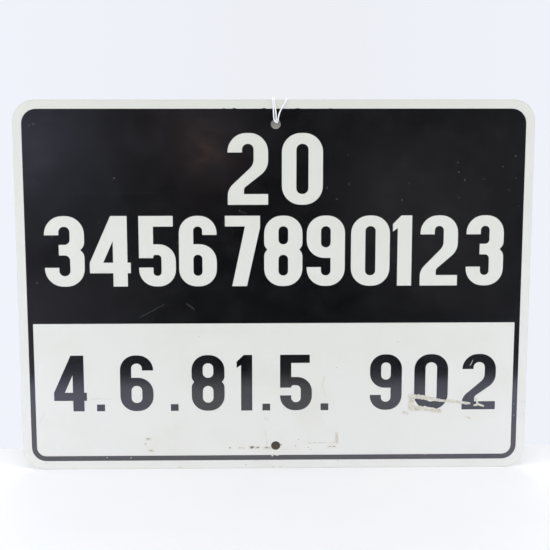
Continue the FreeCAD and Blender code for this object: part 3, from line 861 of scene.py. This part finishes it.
def make_floor(settings):
    """A table top under the sign that ends at the wall, with a rounded front edge."""
    wide, columns, front, back, bend, apron = 900.0, 12, -386.0, 69.0, 30.0, -60.0
    turn = np.linspace(np.pi / 2, 0, 7)
    y = np.concatenate([[front], front + bend - bend * np.sin(turn), [-250, 0, back]])
    z = np.concatenate([[apron], bend * np.cos(turn) - bend, [0, 0, 0]]) + PLATE_LOW[2]
    x, row = np.meshgrid(np.linspace(-wide, wide, columns + 1), np.arange(len(y)), indexing="ij")
    points = np.stack([x, y[row], z[row]], -1).reshape(-1, 3)
    i, j = np.meshgrid(np.arange(columns), np.arange(len(y) - 1), indexing="ij")
    first, n = i * len(y) + j, len(y)
    faces = np.stack([first, first + n, first + n + 1, first + 1], -1).reshape(-1, 4).tolist()
    material = new_material("matt_white_table_top", table_top, settings)
    mesh_piece("table_top", points, faces, None, material)


def make_shade():
    """A dark card close behind each hole, for the shaded gap between sign and wall.

    Only the camera sees it, and only from the front, so the back of the sign stays open.
    """
    radius, behind, corners = 6.4, 5.5, 32
    for name, z, top, foot in (
        ("shade_behind_top_hole", 0.0, "#6f6d6b", "#96948f"),
        ("shade_behind_bottom_hole", -324.0, "#4a443e", "#544d46"),
    ):
        points = np.insert(circle(0, z, radius, corners), 1, behind, axis=1)
        material = new_material(name, hole_shade, z, top, foot)
        card = mesh_piece(name, points, [list(range(corners))], None, material)
        for kind in ("diffuse", "glossy", "transmission", "shadow", "volume_scatter"):
            setattr(card, f"visible_{kind}", False)


def make_light(scene, settings):
    """A broad soft light above, weaker ones to the sides and behind, and the room."""
    middle, white, cool = (0, 0, -0.15), "#ffffff", "#d8e1ff"
    for name, place, aim, size, power, code in (
        ("soft_top", (0.0, -0.75, 1.25), middle, 1.6, 51, white),
        ("soft_left", (-1.5, -0.9, 0.5), middle, 1.2, 16, white),
        ("soft_right", (1.5, -0.9, 0.5), middle, 1.2, 10, white),
        ("tent_left", (-0.7, -0.3, -0.08), (-0.27, 0, -0.12), 0.4, 6.6, cool),
        ("tent_right", (0.7, -0.3, -0.08), (0.27, 0, -0.12), 0.4, 5.8, cool),
        ("soft_back", (0.0, 1.5, 1.0), middle, 1.4, 44, white),
    ):
        data = bpy.data.lights.new(name, "AREA")
        data.shape = "DISK"
        data.size = size
        data.energy = power * settings.light
        data.color = linear(code)[:3]
        lamp = bpy.data.objects.new(name, data)
        lamp.location = place
        away = Vector(place) - Vector(aim)
        lamp.rotation_euler = away.to_track_quat("Z", "Y").to_euler()
        scene.collection.objects.link(lamp)
    world = bpy.data.worlds.new("pale_room")
    scene.world = shaded(world, "OutputWorld", ALL_ROUND, pale_room, settings)


class SIGN_OT_stage(bpy.types.Operator):
    """Set up the camera, the floor, the light and the shade behind the holes"""

    bl_idname = "sign.stage"
    bl_label = "Stage"

    def execute(self, context):
        settings = context.scene.sign_stage
        aim = Vector((-0.7, -1.8, -148.5)) * MM
        away = Vector((0, -1, 0))
        away.rotate(Euler((-settings.elevation, 0, settings.azimuth)))
        camera = bpy.data.objects.new("camera", bpy.data.cameras.new("camera"))
        camera.data.lens = settings.focal
        camera.data.sensor_width = 36
        camera.location = aim + away * settings.distance
        camera.rotation_euler = away.to_track_quat("Z", "Y").to_euler()
        context.scene.collection.objects.link(camera)
        context.scene.camera = camera
        make_floor(settings)
        make_shade()
        make_light(context.scene, settings)
        context.scene.view_settings.view_transform = "Standard"
        return {"FINISHED"}


def knot_lines(radius):
    """The lines of the knot: two ends that run down through it, and three turns round them."""
    turns, pitch, reach = 2.6, 1.36, 2.3 - radius
    turn = np.linspace(0, 2 * np.pi * turns, 34)
    x = KNOT_AXIS + reach * np.cos(turn)
    y = DEEP + reach * np.sin(turn)
    z = KNOT_TOP - radius + 0.05 - pitch * turn / (2 * np.pi)
    lines = [np.stack([x, y, z], -1)]
    for side, lean in ((-1, 1.4), (1, 2.2)):
        off, foot = KNOT_AXIS + side * 0.75, KNOT_AXIS + side * 0.84
        line = [(off, DEEP, KNOT_TOP - 0.05), (off, DEEP, KNOT_TOP - 2.2)]
        line += [(foot, DEEP, KNOT_TOP - 6.7)]
        line += [(foot + side * 0.5 * lean, DEEP - 0.35, KNOT_TOP - 11)]
        lines.append([*line, (foot + side * lean, DEEP - 1.2, KNOT_TOP - 15.9)])
    return lines


class SIGN_OT_string(bpy.types.Operator):
    """Lay the string through the top hole and over the edge, and tie its ends behind the sign"""

    bl_idname = "sign.string"
    bl_label = "String and Knot"

    def execute(self, context):
        settings = context.scene.sign_string
        yarn = settings.diameter / MM / 2, settings.plies, settings.twist / MM
        path = smooth_line(ROUTE)
        material = new_material("plied_white_cotton", cotton, settings, where=ON_STRING)
        given = *twisted_tube(path, *yarn), material, "hanging_string", "string"
        string = mesh_piece("hanging_cotton_string", *given)
        lines = [smooth_line(line) for line in knot_lines(yarn[0])]
        tubes = joined([twisted_tube(line, *yarn, 24) for line in lines])
        knot = mesh_piece("wound_string_knot", *tubes, material, "string_knot", "string")
        return {"FINISHED"}


class SIGN_OT_sheet(bpy.types.Operator):
    """Give the bare plate its rolled metal, and lay the white coat with its chips over it"""

    bl_idname = "sign.sheet"
    bl_label = "Plate and Coat"

    def execute(self, context):
        settings, wear = context.scene.sign_print, context.scene.sign_wear
        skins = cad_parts["sign_plate"].data.materials
        skins.clear()
        skins.append(new_material("mill_finish_aluminium_sheet", sheet_metal, settings, wear))
        hole, corner = settings.hole / MM / 2, settings.coat_corner / MM
        low_hole = PLATE_LOW[2] + PLATE_HIGH[2]
        outline = box(COAT_LOW[0], COAT_HIGH[0], COAT_LOW[2], COAT_HIGH[2], corner)
        holes = [circle(0, 0, hole, 64), circle(0, low_hole, hole, 64)]
        chips = [[fleck(*chip, points=14)] for chip in COAT_CHIPS]
        material = new_material("baked_white_enamel", enamel, settings, wear)
        depths = COAT_LOW[1], COAT_HIGH[1]
        coat = "white_enamel_coat", [[outline]], [holes, *chips], *depths, material
        flat_layer(*coat, "white_coat", "white_coat")
        return {"FINISHED"}


class SIGN_OT_print(bpy.types.Operator):
    """Print the black field, its border and the figures, with the specks where ink is gone"""

    bl_idname = "sign.print"
    bl_label = "Print and Figures"

    def execute(self, context):
        settings, wear = context.scene.sign_print, context.scene.sign_wear
        material = new_material("screen_printed_gloss_black", screen_ink, settings, wear)
        depths = INK_LOW[1], INK_HIGH[1]
        corner, border = settings.field_corner / MM, settings.border / MM
        field = box(INK_LOW[0], INK_HIGH[0], INK_LOW[2], INK_HIGH[2], corner)
        left, right = INK_LOW[0] + border, INK_HIGH[0] - border
        low, high = INK_LOW[2] + border, PLATE_HIGH[2] - settings.panel_drop / MM
        foot = [(left, low, corner - border), (right, low, corner - border)]
        panel = rounded([*foot, (right, high, 0), (left, high, 0)])
        stem, bar = settings.stem / MM, settings.bar / MM
        figures = row_of_figures(TOP_ROW, *TOP_HEIGHT, stem, bar)
        figures += row_of_figures(MIDDLE_ROW, *MIDDLE_HEIGHT, stem, bar)
        specks = [[fleck(*speck, seed=3)] for speck in INK_SPECKS]
        bumps = [[fleck(*bump, seed=4, points=15)] for bump in INK_BUMPS]
        hole = circle(0, 0, settings.hole / MM / 2, 64)
        cuts = [[panel], [hole], figures, *specks]
        given = *depths, material, "black_print", "black_ink"
        flat_layer("black_ink_field", [[field], *bumps], cuts, *given)
        stem, bar = settings.small_stem / MM, settings.small_bar / MM
        lower = row_of_figures(LOWER_ROW, *LOWER_HEIGHT, stem, bar)
        worn = [[scrape(*line, seed=i)] for i, line in enumerate(INK_SCRAPES)]
        flat_layer("black_ink_figures", [lower], worn, *depths, material, slot="black_ink")
        return {"FINISHED"}


class SIGN_PT_panel(bpy.types.Panel):
    """The sign's steps and what can be changed in them"""

    bl_idname = "SIGN_PT_panel"
    bl_label = "Warning Sign"
    bl_space_type = "VIEW_3D"
    bl_region_type = "UI"
    bl_category = "Sign"

    def draw(self, context):
        for operator in OPERATORS:
            self.layout.operator(operator.bl_idname)
        for name, group in SETTINGS.items():
            column = self.layout.column(align=True)
            for field in group.__annotations__:
                column.prop(getattr(context.scene, name), field)


OPERATORS = (SIGN_OT_stage, SIGN_OT_string, SIGN_OT_sheet, SIGN_OT_print)
CLASSES = (*SETTINGS.values(), *OPERATORS, SIGN_PT_panel)


def register():
    """Make the groups, the operators and the panel known."""
    for kind in CLASSES:
        bpy.utils.register_class(kind)
    for name, group in SETTINGS.items():
        setattr(bpy.types.Scene, name, bpy.props.PointerProperty(type=group))


def unregister():
    """Take them away again."""
    for name in SETTINGS:
        delattr(bpy.types.Scene, name)
    for kind in reversed(CLASSES):
        bpy.utils.unregister_class(kind)


def main():
    """Build the whole scene."""
    register()
    bpy.ops.sign.stage()
    bpy.ops.sign.string()
    bpy.ops.sign.sheet()
    bpy.ops.sign.print()


if __name__ == "__main__":
    main()
